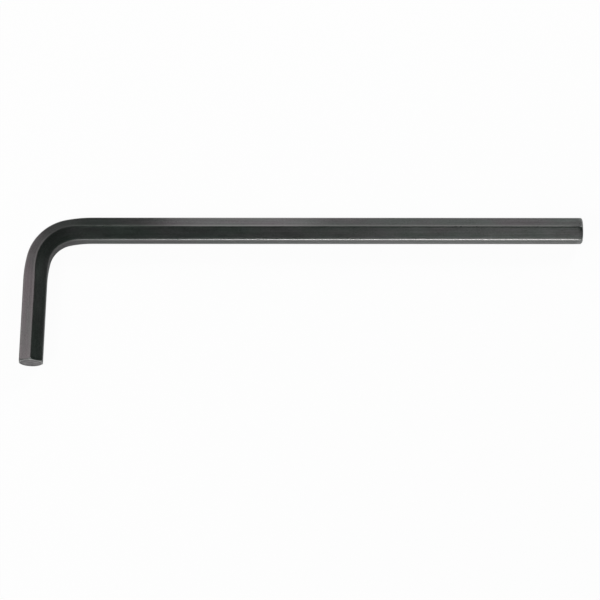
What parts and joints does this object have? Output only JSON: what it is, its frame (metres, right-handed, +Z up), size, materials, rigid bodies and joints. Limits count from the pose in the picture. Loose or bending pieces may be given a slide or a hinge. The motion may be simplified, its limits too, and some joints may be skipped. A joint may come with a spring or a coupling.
{
  "type": "hex key",
  "caption": "Long-arm L-shaped hex key for 6 mm sockets: a dark hexagonal steel bar with one eased bend and a small chamfer on each tip.",
  "frame": {"origin": "middle of the key's footprint, on the surface it lies on", "axes": "+X along the long arm towards its tip, short arm towards -Y, +Z up, square to the plane of the bend"},
  "size_m": [0.1426, 0.038, 0.0068],
  "materials": {
    "blackened_steel": "satin black oxide over drawn steel, end faces a little greyer"
  },
  "bodies": {
    "root": {"hex_key": "blackened_steel"}
  },
  "joints": []
}
